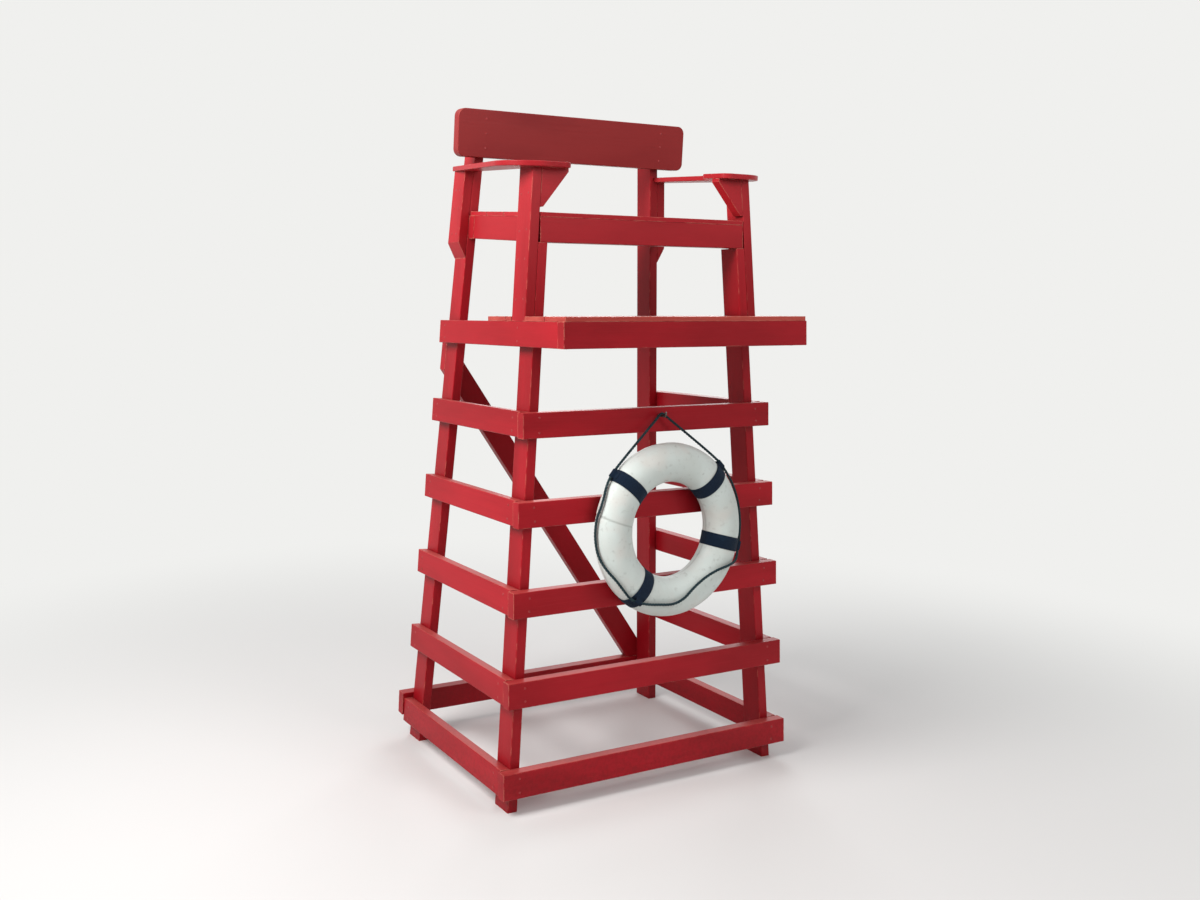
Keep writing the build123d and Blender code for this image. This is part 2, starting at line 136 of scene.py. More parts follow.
class Bench:
    """One material, or the air round the tower, on the bench: lays out its nodes and joins them."""

    bevel_samples: int = 4
    corner_samples: int = 6
    corner_step: Step = Step(0.85, 0.25)

    def __init__(self, owner: bpy.types.Material | bpy.types.World) -> None:
        """Clear the bench.

        Args:
            owner: The new material or world that the nodes are for.
        """
        owner.use_nodes = True
        self.owner = owner
        self.tree = owner.node_tree
        self.tree.nodes.clear()

    def node(self, kind: str, inputs: Inputs | None = None, **settings: Any) -> bpy.types.Node:
        """Add a node, set it up and feed it.

        Args:
            kind: The node's type.
            inputs: What goes in, by socket name or number: another node's socket, or a constant.
            settings: The node's own settings.

        Returns:
            The new node.
        """
        made = self.tree.nodes.new(kind)
        for key, value in settings.items():
            setattr(made, key, value)
        for key, value in (inputs or {}).items():
            if isinstance(value, Socket):
                self.tree.links.new(value, made.inputs[key])
            else:
                made.inputs[key].default_value = value
        return made

    def place(self) -> Socket:
        """Return the place on the object, in metres."""
        return self.node("ShaderNodeTexCoord").outputs["Object"]

    def chance(self) -> Socket:
        """Return a random number that each object has of its own."""
        return self.node("ShaderNodeObjectInfo").outputs["Random"]

    def scattered(self, spread: float) -> Socket:
        """Return the place, shifted by up to spread metres so that no two boards match."""
        inputs: Inputs = {0: self.place(), 1: self.times(self.chance(), spread)}
        return self.node("ShaderNodeVectorMath", inputs, operation="ADD").outputs[0]

    def fact(self, name: str) -> Socket:
        """Return one fact of the surface's geometry, such as its Position."""
        return self.node("ShaderNodeNewGeometry").outputs[name]

    def share(self, vector: Socket, axis: str) -> Socket:
        """Return a vector's share along the axis X, Y or Z."""
        return self.node("ShaderNodeSeparateXYZ", {0: vector}).outputs[axis]

    def weave(self) -> Socket:
        """Return the place on the weave: X over the tape or round the strand, and Y along it."""
        return self.node("ShaderNodeUVMap", uv_map="weave").outputs[0]

    def backdrop_rays(self) -> Socket:
        """Return 1 for the rays that meet the pale backdrop: the camera's and the glossy ones."""
        rays = self.node("ShaderNodeLightPath").outputs
        return self.sum("MAXIMUM", rays["Is Camera Ray"], rays["Is Glossy Ray"])

    def cloud(self, where: Socket, look: Cloud) -> Socket:
        """Return soft random values round one half."""
        inputs = dict(zip(("Vector", "Scale", "Detail", "Distortion"), (where, *look)))
        return self.node("ShaderNodeTexNoise", inputs).outputs[0]

    def streaks(self, where: Socket, turn: Triple, look: Streaks) -> Socket:
        """Return random values drawn out along the grain.

        Args:
            where: The place to read them at.
            turn: The grain's turn about X, Y and Z, in radians.
            look: What the streaks look like.

        Returns:
            Values round one half.
        """
        turned = self.node("ShaderNodeMapping", {"Vector": where, "Rotation": turn}).outputs[0]
        inputs: Inputs = {"Vector": turned, "Scale": (look.along, look.across, look.across)}
        drawn = self.node("ShaderNodeMapping", inputs).outputs[0]
        return self.cloud(drawn, Cloud(1.0, look.detail, look.warp))

    def patches(self, where: Socket, look: Cloud, step: Step) -> Socket:
        """Return a cloud cut into patches with soft edges."""
        return self.ease(self.cloud(where, look), step)

    def sum(self, operation: str, *values: Value) -> Socket:
        """Return one sum of up to three values."""
        inputs = dict(enumerate(values))
        return self.node("ShaderNodeMath", inputs, operation=operation).outputs[0]

    def times(self, first: Value, second: Value) -> Socket:
        """Return two values multiplied, so that both have to be high."""
        return self.sum("MULTIPLY", first, second)

    def ease(self, value: Socket, step: Step) -> Socket:
        """Return a value's smooth step."""
        inputs = dict(zip(("Value", "From Min", "From Max", "To Max"), (value, *step)))
        return self.node("ShaderNodeMapRange", inputs, interpolation_type="SMOOTHSTEP").outputs[0]

    def mix(self, share: Value, under: Socket | Colour, over: Socket | Colour) -> Socket:
        """Return one colour laid over another, by the share of the upper one that shows."""
        inputs: Inputs = {0: share, 6: under, 7: over}
        return self.node("ShaderNodeMix", inputs, data_type="RGBA").outputs[2]

    def relief(self, height: Socket, depth: float, under: Socket | None = None) -> Socket:
        """Raise and sink the surface's shading.

        Args:
            height: The relief, from 0 to 1.
            depth: How deep it is, in metres.
            under: The normal of a coarser relief that this one lies on.

        Returns:
            The new normal.
        """
        inputs: Inputs = {"Height": height, "Distance": depth, "Strength": 1.0}
        if under is not None:
            inputs["Normal"] = under
        return self.node("ShaderNodeBump", inputs).outputs[0]

    def worn_edges(self, width: float, breakup: Socket, step: Step) -> Socket:
        """Find the edges that hands and feet rub.

        Args:
            width: How far the wear reaches from the edge, in metres.
            breakup: Random values that break the wear into patches.
            step: How sharp an edge is where the wear starts, and where it is whole.

        Returns:
            The wear, from 0 to 1.
        """
        rounded = self.node("ShaderNodeBevel", {"Radius": width}, samples=self.bevel_samples)
        inputs: Inputs = {0: rounded.outputs[0], 1: self.fact("Normal")}
        alike = self.node("ShaderNodeVectorMath", inputs, operation="DOT_PRODUCT").outputs["Value"]
        return self.ease(self.times(self.sum("SUBTRACT", 1.0, alike), breakup), step)

    def corners(self, reach: float) -> Socket:
        """Find the corners where shade falls, for painting shade into them.

        Args:
            reach: How far off a neighbouring surface counts, in metres.

        Returns:
            How deep in a corner the surface lies, from 0 to 1.
        """
        sky = self.node(
            "ShaderNodeAmbientOcclusion", {"Distance": reach}, samples=self.corner_samples
        )
        return self.ease(sky.outputs["AO"], self.corner_step)

    def done(
        self, colour: Socket, rough: Value, normal: Socket, more: Inputs | None = None
    ) -> bpy.types.Material:
        """Close the material with its surface shader.

        Args:
            colour: The base colour.
            rough: The roughness.
            normal: The normal.
            more: Anything else that goes into the shader, by socket name.

        Returns:
            The finished material.
        """
        inputs: Inputs = {"Base Color": colour, "Roughness": rough, "Normal": normal}
        surface = self.node("ShaderNodeBsdfPrincipled", {**inputs, **(more or {})})
        self.node("ShaderNodeOutputMaterial", {"Surface": surface.outputs[0]})
        return self.owner


@dataclass(frozen=True)
class BoardPaint:
    """Semi-gloss paint, brushed on planed lumber and used for years."""

    name: str
    body: Colour
    deep: Colour
    faded: Colour
    # Pale tone of upward faces: real dust, and a painted sheen of the light from above.
    dust_and_sheen: Colour = tint(186, 104, 96)
    # Dark tone for the low splashes of grime, and for the painted shade in corners.
    primer: Colour = tint(196, 116, 100)
    grime_and_shade: Colour = tint(64, 14, 14)
    board_shift: float = 9.0
    lines: Streaks = Streaks(2.6, 95.0, 4.0, 0.35)
    line_step: Step = Step(0.50, 0.66, 0.22)
    line_depth: float = 0.35 * MM
    strokes: Streaks = Streaks(7.0, 640.0)
    stroke_step: Step = Step(0.52, 0.70, 0.16)
    stroke_depth: float = 0.16 * MM
    drift: Streaks = Streaks(1.7, 7.0, 4.0)
    drift_step: Step = Step(0.34, 0.68)
    brightness: float = 0.92
    brightness_range: float = 0.16
    upward_step: Step = Step(0.45, 0.95)
    dust_and_sheen_step: Step = Step(0.20, 0.80, 0.55)
    sunlit_heights: Step = Step(1.72, 2.15, 0.55)
    bleach_step: Step = Step(0.0, 0.6)
    splash_heights: Step = Step(0.32, 0.0, 0.34)
    speckle: Cloud = Cloud(85.0)
    speckle_step: Step = Step(0.36, 0.72)
    corner_reach: float = 45 * MM
    corner_step: Step = Step(0.25, 0.75, 0.75)
    wear: Cloud = Cloud(26.0, 6.0)
    wear_step: Step = Step(0.38, 0.66)
    wear_width: float = 4.5 * MM
    wear_sharpness: Step = Step(0.045, 0.072)
    wear_depth: float = 0.25 * MM
    rough: float = 0.28
    rough_range: float = 0.16
    rough_worn: float = 0.35
    shine: float = 0.15

    def coat(self, bench: Bench, lines: Socket, strokes: Socket, drift: Socket) -> Socket:
        """Brush on the paint, before anything has happened to it.

        Args:
            bench: The material's bench.
            lines: The wood's grain under the paint.
            strokes: The brush's strokes.
            drift: Slow changes along the board.

        Returns:
            The colour.
        """
        colour = bench.mix(bench.ease(drift, self.drift_step), self.deep, self.body)
        colour = bench.mix(bench.ease(lines, self.line_step), colour, self.deep)
        colour = bench.mix(bench.ease(strokes, self.stroke_step), colour, self.faded)
        bright = bench.sum("MULTIPLY_ADD", bench.chance(), self.brightness_range, self.brightness)
        return bench.node("ShaderNodeHueSaturation", {"Value": bright, "Color": colour}).outputs[0]

    def weather(self, bench: Bench, colour: Socket, where: Socket, drift: Socket) -> Socket:
        """Bleach the boards high up, splash the low ones with grime and paint shade, broken up like
        grime, into the corners.

        Args:
            bench: The material's bench.
            colour: The colour so far.
            where: The place on the board.
            drift: Slow changes along the board.

        Returns:
            The colour.
        """
        height = bench.share(bench.fact("Position"), "Z")
        sunlit = bench.ease(height, self.sunlit_heights)
        bleached = bench.times(sunlit, bench.ease(drift, self.bleach_step))
        colour = bench.mix(bleached, colour, self.faded)
        low = bench.ease(height, self.splash_heights)
        splashed = bench.times(low, bench.patches(where, self.speckle, self.speckle_step))
        colour = bench.mix(splashed, colour, self.grime_and_shade)
        # Painted shade in the corners between boards, broken into patches like grime.
        corner = bench.times(bench.corners(self.corner_reach), bench.ease(drift, self.corner_step))
        return bench.mix(corner, colour, self.grime_and_shade)

    def material(self, grain: Grain) -> bpy.types.Material:
        """Lay the paint on boards whose grain runs one way.

        Args:
            grain: The way that the grain runs.

        Returns:
            The material.
        """
        bench = Bench(bpy.data.materials.new(f"{self.name}_{grain.name.lower()}"))
        where = bench.scattered(self.board_shift)
        lines = bench.streaks(where, grain.value, self.lines)
        strokes = bench.streaks(where, grain.value, self.strokes)
        drift = bench.streaks(where, grain.value, self.drift)
        colour = self.coat(bench, lines, strokes, drift)
        # Upward faces turn pale: partly real dust, partly a painted sheen of the light falling on
        # them.
        upward = bench.ease(bench.share(bench.fact("True Normal"), "Z"), self.upward_step)
        dust_and_sheen_share = bench.times(upward, bench.ease(drift, self.dust_and_sheen_step))
        colour = self.weather(bench, bench.mix(dust_and_sheen_share, colour, self.dust_and_sheen), where, drift)
        breakup = bench.patches(where, self.wear, self.wear_step)
        worn = bench.worn_edges(self.wear_width, breakup, self.wear_sharpness)
        colour = bench.mix(worn, colour, self.primer)
        rough = bench.sum("MULTIPLY_ADD", strokes, self.rough_range, self.rough)
        dulled = bench.times(bench.sum("MAXIMUM", dust_and_sheen_share, worn), self.rough_worn)
        normal = bench.relief(lines, self.line_depth)
        normal = bench.relief(strokes, self.stroke_depth, normal)
        normal = bench.relief(bench.sum("SUBTRACT", 1.0, worn), self.wear_depth, normal)
        rough = bench.sum("ADD", rough, dulled)
        return bench.done(colour, rough, normal, {"Specular IOR Level": self.shine})


@dataclass(frozen=True)
class HeadPaint:
    """Screw heads painted over with the boards, with rust coming through."""

    name: str = "painted_screw_head"
    paint: Colour = tint(150, 24, 28)
    rust: Colour = tint(112, 44, 30)
    # Dark tone of the painted shade where the head meets the board.
    grime_and_shade: Colour = tint(48, 16, 14)
    rusting: Cloud = Cloud(60.0)
    rust_step: Step = Step(0.56, 0.68, 0.8)
    corner_reach: float = 4 * MM
    pits: Cloud = Cloud(1800.0, 2.0)
    pit_depth: float = 0.2 * MM
    rough: float = 0.35
    rough_rust: Step = Step(0.0, 1.0, 0.45)

    def material(self) -> bpy.types.Material:
        """Mix the finish.

        Returns:
            The material.
        """
        bench = Bench(bpy.data.materials.new(self.name))
        where = bench.place()
        rusty = bench.patches(where, self.rusting, self.rust_step)
        colour = bench.mix(rusty, self.paint, self.rust)
        # Painted shade round the head where it meets the board.
        colour = bench.mix(bench.corners(self.corner_reach), colour, self.grime_and_shade)
        rough = bench.sum("ADD", bench.ease(rusty, self.rough_rust), self.rough)
        normal = bench.relief(bench.cloud(where, self.pits), self.pit_depth)
        return bench.done(colour, rough, normal)


@dataclass(frozen=True)
class RingSkin:
    """The life ring's pale skin: matt, a little dirty, chalky where it is rubbed."""

    name: str = "ring_skin"
    clean: Colour = tint(204, 213, 209)
    yellowed: Colour = tint(196, 203, 198)
    blush: Colour = tint(208, 196, 188)
    # Grey for real smudges and seam dirt, and for the painted shade in the ring's corners.
    smudge_and_shade: Colour = tint(140, 142, 136)
    scuff: Colour = tint(96, 98, 96)
    broad: Cloud = Cloud(6.5, 3.0, 0.4)
    broad_step: Step = Step(0.38, 0.68)
    fine: Cloud = Cloud(55.0, 5.0)
    fine_step: Step = Step(0.56, 0.78, 0.40)
    fine_depth: float = 0.5 * MM
    blush_shift: float = 3.0
    blushing: Cloud = Cloud(9.0, 2.0)
    blush_step: Step = Step(0.48, 0.70, 0.35)
    spots: Cloud = Cloud(95.0, 2.0)
    spot_step: Step = Step(0.72, 0.80, 0.28)
    scratches: Streaks = Streaks(14.0, 420.0)
    scratch_turn: Triple = (0.3, 0.5, 0.9)
    scratch_step: Step = Step(0.70, 0.78, 0.30)
    pebbles: Cloud = Cloud(900.0, 2.0)
    pebble_depth: float = 0.12 * MM
    seam_dirt: float = 0.62
    corner_shade: float = 0.55
    corner_reach: float = 16 * MM
    rough: float = 0.40
    rough_step: Step = Step(0.3, 0.7, 0.18)
    shine: float = 0.3

    def material(self) -> bpy.types.Material:
        """Mix the finish.

        Returns:
            The material.
        """
        bench = Bench(bpy.data.materials.new(self.name))
        where = bench.place()
        broad = bench.cloud(where, self.broad)
        fine = bench.cloud(where, self.fine)
        scratches = bench.streaks(where, self.scratch_turn, self.scratches)
        seam = bench.node("ShaderNodeAttribute", attribute_name="seam").outputs["Fac"]
        shifted = bench.scattered(self.blush_shift)
        stains = (
            (bench.ease(fine, self.fine_step), self.smudge_and_shade),
            (bench.patches(shifted, self.blushing, self.blush_step), self.blush),
            (bench.patches(where, self.spots, self.spot_step), self.scuff),
            (bench.ease(scratches, self.scratch_step), self.scuff),
            (bench.times(seam, self.seam_dirt), self.smudge_and_shade),
            # Painted shade where the straps, the line and the dents crowd the skin.
            (bench.times(bench.corners(self.corner_reach), self.corner_shade), self.smudge_and_shade),
        )
        colour = bench.mix(bench.ease(broad, self.broad_step), self.clean, self.yellowed)
        for share, stain in stains:
            colour = bench.mix(share, colour, stain)
        rough = bench.sum("ADD", bench.ease(broad, self.rough_step), self.rough)
        normal = bench.relief(bench.cloud(where, self.pebbles), self.pebble_depth)
        normal = bench.relief(fine, self.fine_depth, normal)
        return bench.done(colour, rough, normal, {"Specular IOR Level": self.shine})


@dataclass(frozen=True)
class Yarns:
    """What the tape's and the line's finishes share: yarns with shaded gaps, wear and fuzz."""

    name: str
    yarn: Colour
    shade: Colour
    worn: Colour
    yarn_depth: float
    rubbing: Cloud
    rub_step: Step
    fuzz: Cloud
    fuzz_depth: float
    rough: float
    shine: float
    sheen: float = 0.04

    def spun(self, bench: Bench, height: Socket) -> bpy.types.Material:
        """Colour the yarns.

        Args:
            bench: The material's bench.
            height: How high the yarns stand, from 0 to 1.

        Returns:
            The material.
        """
        where = bench.place()
        colour = bench.mix(height, self.shade, self.yarn)
        rubbed = bench.times(bench.patches(where, self.rubbing, self.rub_step), height)
        colour = bench.mix(rubbed, colour, self.worn)
        normal = bench.relief(height, self.yarn_depth)
        normal = bench.relief(bench.cloud(where, self.fuzz), self.fuzz_depth, normal)
        more: Inputs = {"Specular IOR Level": self.shine, "Sheen Weight": self.sheen}
        return bench.done(colour, self.rough, normal, more)


@dataclass(frozen=True)
class Webbing(Yarns):
    """Woven navy tape: every second yarn along it passes over where the others pass under."""

    name: str = "navy_webbing"
    yarn: Colour = tint(20, 43, 68)
    shade: Colour = tint(8, 18, 30)
    worn: Colour = tint(36, 64, 86)
    yarn_depth: float = 0.7 * MM
    rubbing: Cloud = Cloud(22.0)
    rub_step: Step = Step(0.48, 0.74, 0.55)
    fuzz: Cloud = Cloud(420.0)
    fuzz_depth: float = 0.15 * MM
    rough: float = 0.8
    shine: float = 0.12
    yarns_across: float = 26.0
    over_step: Step = Step(0.0, 0.6)

    def material(self) -> bpy.types.Material:
        """Weave the finish.

        Returns:
            The material.
        """
        bench = Bench(bpy.data.materials.new(self.name))
        across = bench.times(bench.share(bench.weave(), "X"), self.yarns_across)
        along = bench.times(bench.share(bench.weave(), "Y"), self.yarns_across * math.pi)
        odd = bench.times(bench.sum("FLOOR", across), math.pi)
        bulge = bench.sum("ABSOLUTE", bench.sum("SINE", bench.times(across, math.pi)))
        wave = bench.sum("SINE", bench.sum("ADD", along, odd))
        over = bench.ease(bench.sum("MULTIPLY_ADD", wave, 0.5, 0.5), self.over_step)
        return self.spun(bench, bench.times(bulge, over))


@dataclass(frozen=True)
class LineFibre(Yarns):
    """A laid line's yarns, which climb round each strand."""

    name: str = "line_fibre"
    yarn: Colour = tint(48, 72, 78)
    shade: Colour = tint(20, 34, 40)
    worn: Colour = tint(84, 106, 108)
    yarn_depth: float = 0.35 * MM
    rubbing: Cloud = Cloud(30.0)
    rub_step: Step = Step(0.50, 0.72, 0.6)
    fuzz: Cloud = Cloud(900.0, 2.0)
    fuzz_depth: float = 0.10 * MM
    rough: float = 0.74
    shine: float = 0.15
    yarns_round: float = 7.0
    yarn_slope: float = 3.0

    def material(self) -> bpy.types.Material:
        """Lay the finish.

        Returns:
            The material.
        """
        bench = Bench(bpy.data.materials.new(self.name))
        turn = bench.times(bench.share(bench.weave(), "X"), self.yarns_round)
        climb = bench.times(bench.share(bench.weave(), "Y"), self.yarn_slope)
        wave = bench.sum("SINE", bench.times(bench.sum("ADD", turn, climb), math.tau))
        return self.spun(bench, bench.sum("MULTIPLY_ADD", wave, 0.5, 0.5))


@dataclass(frozen=True)
class Galvanised:
    """Dull zinc on a bent steel bar, with rust at its scratches."""

    name: str = "galvanised_steel"
    zinc: Colour = tint(122, 122, 120)
    dull: Colour = tint(84, 84, 82)
    rust: Colour = tint(84, 44, 30)
    spangle_scale: float = 260.0
    rusting: Cloud = Cloud(120.0, 4.0)
    rust_step: Step = Step(0.40, 0.58)
    bare_step: Step = Step(0.9, 0.1)
    pits: Cloud = Cloud(500.0)
    pit_depth: float = 0.1 * MM
    rough: float = 0.42
    rough_rust: float = 0.35

    def material(self) -> bpy.types.Material:
        """Mix the finish.

        Returns:
            The material.
        """
        bench = Bench(bpy.data.materials.new(self.name))
        where = bench.place()
        inputs: Inputs = {"Vector": where, "Scale": self.spangle_scale}
        spangle = bench.node("ShaderNodeTexVoronoi", inputs).outputs["Color"]
        rusty = bench.patches(where, self.rusting, self.rust_step)
        colour = bench.mix(bench.share(spangle, "X"), self.dull, self.zinc)
        colour = bench.mix(rusty, colour, self.rust)
        rough = bench.sum("MULTIPLY_ADD", rusty, self.rough_rust, self.rough)
        normal = bench.relief(bench.cloud(where, self.pits), self.pit_depth)
        return bench.done(colour, rough, normal, {"Metallic": bench.ease(rusty, self.bare_step)})


RED = BoardPaint(
    "red_paint", body=tint(162, 20, 32), deep=tint(142, 15, 25), faded=tint(174, 44, 50)
)
MAROON = BoardPaint(
    "maroon_paint", body=tint(136, 32, 33), deep=tint(122, 26, 28), faded=tint(146, 48, 48)
)
# The deck planks' lighter paint: partly worn by feet, partly painted light that their tops and
# edges catch.
TRODDEN_AND_SHEEN = BoardPaint(
    "trodden_and_sheen_paint",
    body=tint(176, 74, 64),
    deep=tint(152, 42, 40),
    faded=tint(196, 116, 100),
    dust_and_sheen=tint(170, 112, 98),
)


class PaintStore:
    """Hands out each paint once for each way of the grain."""

    def __init__(self) -> None:
        """Start with nothing mixed."""
        self.mixed: dict[tuple[str, Grain], bpy.types.Material] = {}

    def brush(self, paint: BoardPaint, grain: Grain, nodes: Iterable[str]) -> None:
        """Paint some boards.

        Args:
            paint: The paint.
            grain: The way that these boards' grain runs.
            nodes: The boards' names.
        """
        key = paint.name, grain
        if key not in self.mixed:
            self.mixed[key] = paint.material(grain)
        for name in nodes:
            dress(name, self.mixed[key])


def dress(node: str, material: bpy.types.Material) -> None:
    """Give a plain piece one material on every face.

    Args:
        node: The piece's name.
        material: Its material.
    """
    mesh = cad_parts[node].data
    mesh.materials.clear()
    mesh.materials.append(material)
    for face in mesh.polygons:
        face.material_index = 0
    log.info("%s: finished in %s", node, material.name)


def piece_from(
    draft: bmesh.types.BMesh, name: str, material: bpy.types.Material
) -> bpy.types.Object:
    """Turn a draft into a smooth piece of the tower.

    Args:
        draft: The mesh so far; it is freed.
        name: The piece's name.
        material: Its material.

    Returns:
        The piece, riding with the tower.
    """
    mesh = bpy.data.meshes.new(name)
    bmesh.ops.recalc_face_normals(draft, faces=draft.faces)
    draft.to_mesh(mesh)
    draft.free()
    for face in mesh.polygons:
        face.use_smooth = True
    mesh.materials.append(material)
    piece = put(name, mesh)
    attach(piece, BODY)
    log.info("%s: %d faces", name, len(mesh.polygons))
    return piece


def level(node: str) -> float:
    """Return the height of a board's middle."""
    low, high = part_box(node)
    return (low.z + high.z) / 2


def pair(middle: float, spread: float) -> tuple[float, float]:
    """Return two places, one spread on each side of a middle."""
    return middle - spread, middle + spread


@dataclass(frozen=True)
class TowerLines:
    """Where the leaning legs stand at each height."""

    base_half: float
    side_lean: float
    back_foot: float
    back_lean: float
    front_middle: float
    board_thickness: float = 38 * MM
    board_width: float = 89 * MM

    @classmethod
    def read(cls) -> "TowerLines":
        """Read the lines off the plain legs.

        Returns:
            The lines.
        """
        low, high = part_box("right_front_leg")
        side_lean = (high.x - low.x - cls.board_thickness) / (high.z - low.z)
        back_low, back_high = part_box("right_back_leg")
        back_lean = (back_high.y - back_low.y - cls.board_width) / (back_high.z - back_low.z)
        return cls(high.x, side_lean, back_high.y, back_lean, (low.y + high.y) / 2)

    def half_width(self, height: float) -> float:
        """Return half the width over the legs' outer faces at a height."""
        return self.base_half - self.side_lean * height

    def leg_middle(self, height: float) -> float:
        """Return how far out the middle of a leg stands at a height."""
        return self.half_width(height) - self.board_thickness / 2

    def back_middle(self, height: float) -> float:
        """Return how far back the middle of a back leg stands at a height."""
        return self.back_foot - self.board_width / 2 - self.back_lean * height


class Way(Enum):
    """The way that a screw is driven."""

    BACKWARDS = (0.0, 1.0, 0.0)
    FORWARDS = (0.0, -1.0, 0.0)
    DOWN = (0.0, 0.0, -1.0)
    LEFT = (-1.0, 0.0, 0.0)
    RIGHT = (1.0, 0.0, 0.0)


INWARD = {"left": Way.RIGHT, "right": Way.LEFT}


@dataclass
class Fixings:
    """The screw heads of one sub-assembly, as one joined mesh."""

    name: str
    seed: int
    radius: float = 4.2 * MM
    proud: float = 0.7 * MM
    sunk: float = 1.0 * MM
    sides: int = 14
    slip: float = 2.5 * MM
    start: float = 2.0
    start_above: float = 4.0
    squareness: float = 0.9
    draft: bmesh.types.BMesh = field(default_factory=bmesh.new)
    hand: random.Random = field(init=False)

    def __post_init__(self) -> None:
        """Seed the small errors of the hand that drives them."""
        self.hand = random.Random(self.seed)

    def drive(self, node: str, across: float, along: float, way: Way) -> None:
        """Drive one screw into a board's face, or none where the board has no face there.

        Args:
            node: The board.
            across: The first of the two places that the screw's way leaves open, in X, Y, Z order.
            along: The second of them.
            way: The way that it is driven.
        """
        heading = Vector(way.value)
        places = [place + self.hand.uniform(-self.slip, self.slip) for place in (across, along)]
        origin = Vector([places.pop(0) if part == 0 else -part * self.start for part in heading])
        if way is Way.DOWN:
            origin.z = self.start_above
        hit, point, normal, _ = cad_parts[node].ray_cast(origin, heading)
        if hit and normal.dot(heading) < -self.squareness:
            self.head(point, normal)

    def row(self, node: str, across: Iterable[float], along: Iterable[float], way: Way) -> None:
        """Drive a screw at every mix of two lists of places.

        Args:
            node: The board.
            across: Places along the first open axis.
            along: Places along the second.
            way: The way that they are driven.
        """
        seconds = list(along)
        for first in across:
            for second in seconds:
                self.drive(node, first, second, way)

    def planks(
        self, node: str, count: int, shares: Sequence[int], inset: float, spread: float
    ) -> None:
        """Screw a row of planks down, two screws for each board that they cross.

        Args:
            node: The planks.
            count: How many there are.
            shares: The boards under them, from -1 on the left to 1 on the right.
            inset: How far in from the planks' ends the outer boards' middles lie.
            spread: How far from a plank's middle its screws sit.
        """
        low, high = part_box(node)
        pitch = (high.y - low.y) / count
        across = [share * (high.x - inset) for share in shares]
        for place in range(count):
            self.row(node, across, pair(low.y + (place + 0.5) * pitch, spread), Way.DOWN)

    def head(self, point: Vector, normal: Vector) -> None:
        """Turn one head: a low dome with a dished middle, as the paint leaves it.

        Args:
            point: Its middle on the board's face.
            normal: The way that the face looks.
        """
        side = normal.orthogonal().normalized()
        other = normal.cross(side)
        # Each ring's reach, in radii, and its height over the face.
        profile = (
            (1.12, -self.sunk),
            (1.0, 0.15 * self.proud),
            (0.86, 0.85 * self.proud),
            (0.55, self.proud),
            (0.30, 0.8 * self.proud),
        )
        turn = self.hand.uniform(0, math.pi)
        rings = []
        for reach, rise in profile:
            ring = []
            for step in range(self.sides):
                angle = turn + math.tau * step / self.sides
                spoke = side * math.cos(angle) + other * math.sin(angle)
                corner = point + spoke * reach * self.radius + normal * rise
                ring.append(self.draft.verts.new(corner))
            rings.append(ring)
        steps = [(step, (step + 1) % self.sides) for step in range(self.sides)]
        for outer, inner in zip(rings, rings[1:]):
            for step, after in steps:
                self.draft.faces.new((outer[step], outer[after], inner[after], inner[step]))
        middle = self.draft.verts.new(point - normal * 0.5 * self.proud)
        for step, after in steps:
            self.draft.faces.new((rings[-1][step], rings[-1][after], middle))

    def finish(self, material: bpy.types.Material) -> bpy.types.Object:
        """Return the heads as one piece."""
        return piece_from(self.draft, self.name, material)


@dataclass
class Assembly(ABC):
    """A sub-assembly of boards: painted along their grain, then screwed together."""

    lines: TowerLines
    screws: str
    seed: int
    screw_spread: float = 24 * MM

    @abstractmethod
    def paint(self, store: PaintStore) -> None:
        """Paint every board along its grain."""

    @abstractmethod
    def fasten(self, fixings: Fixings) -> None:
        """Drive the sub-assembly's screws."""

    def side_boards(self, fixings: Fixings, board: str, height: float) -> None:
        """Screw the right and the left one of a pair of side boards to their legs.

        Args:
            fixings: The sub-assembly's screws.
            board: The boards' name, without the side.
            height: The height of the boards' middles.
        """
        feet = (self.lines.front_middle, self.lines.back_middle(height))
        for side in ("right", "left"):
            fixings.row(f"{side}_{board}", feet, pair(height, self.screw_spread), INWARD[side])

    def cross_board(
        self, fixings: Fixings, node: str, way: Way, offsets: Iterable[float] | None = None
    ) -> None:
        """Screw a board that runs across the tower to the leg at each side.

        Args:
            fixings: The sub-assembly's screws.
            node: The board.
            way: The way that the screws are driven.
            offsets: How far from the board's middle they sit, if they aren't a plain pair.
        """
        height = level(node)
        out = self.lines.leg_middle(height)
        rows = [height + offset for offset in offsets or pair(0.0, self.screw_spread)]
        fixings.row(node, (-out, out), rows, way)

    def build(self, store: PaintStore, heads: bpy.types.Material) -> None:
        """Paint the boards and fasten them.

        Args:
            store: Where the paint comes from.
            heads: The screw heads' material.
        """
        self.paint(store)
        fixings = Fixings(self.screws, self.seed)
        self.fasten(fixings)
        fixings.finish(heads)


